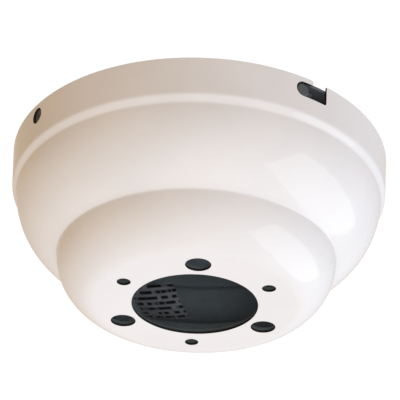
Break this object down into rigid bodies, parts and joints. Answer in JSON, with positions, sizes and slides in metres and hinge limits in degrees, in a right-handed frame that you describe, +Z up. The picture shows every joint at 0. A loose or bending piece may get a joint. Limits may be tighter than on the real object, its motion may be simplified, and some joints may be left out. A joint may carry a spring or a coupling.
{
  "type": "ceiling fan canopy",
  "caption": "Stepped round ceiling canopy with a bayonet-slotted rim, a centre bore and a ring of motor screw holes, hung from a round ceiling plate.",
  "frame": {"origin": "centre of the rim plane, where the outlet-box screw pattern meets the ceiling", "axes": "+Z up into the ceiling along the canopy's axis; -Y towards the front wide hole; +X to the right seen from the front"},
  "size_m": [0.184, 0.184, 0.0776],
  "materials": {
    "enamel": "gloss",
    "primer": "satin",
    "zinc": "satin",
    "black_oxide": "satin",
    "label": "matte",
    "ground_green": "satin",
    "bushing": "matte",
    "pad": "matte"
  },
  "bodies": {
    "plate": {"ceiling_plate": "primer", "hanging_hook": "zinc", "hook_rivets": "zinc", "bayonet_pin_front": "black_oxide", "bayonet_pin_rear": "black_oxide", "pin_washer_front": "zinc", "pin_washer_rear": "zinc", "pin_nut_front": "zinc", "pin_nut_rear": "zinc", "ground_screw": "ground_green", "ground_washer": "zinc", "wire_bushing": "bushing", "isolator_pad_left": "pad", "isolator_pad_right": "pad"},
    "canopy": {"canopy_shell": "enamel", "motor_plate": "primer", "info_label": "label", "weld_nut_left": "zinc", "weld_nut_right": "zinc"},
    "lock_screw_left": {"lock_screw_left": "black_oxide"},
    "lock_screw_right": {"lock_screw_right": "black_oxide"}
  },
  "joints": [
    {"name": "canopy_twist", "type": "hinge", "parent": "plate", "child": "canopy", "pos_m": [0, 0, 0], "axis": [0, 0, 1], "range_deg": [-5.9, 0]},
    {"name": "lock_left_slide", "type": "slide", "parent": "canopy", "child": "lock_screw_left", "axis": [-0.8545, -0.5195, 0], "range_m": [0, 0.003]},
    {"name": "lock_right_slide", "type": "slide", "parent": "canopy", "child": "lock_screw_right", "axis": [0.8545, 0.5195, 0], "range_m": [0, 0.003]}
  ]
}
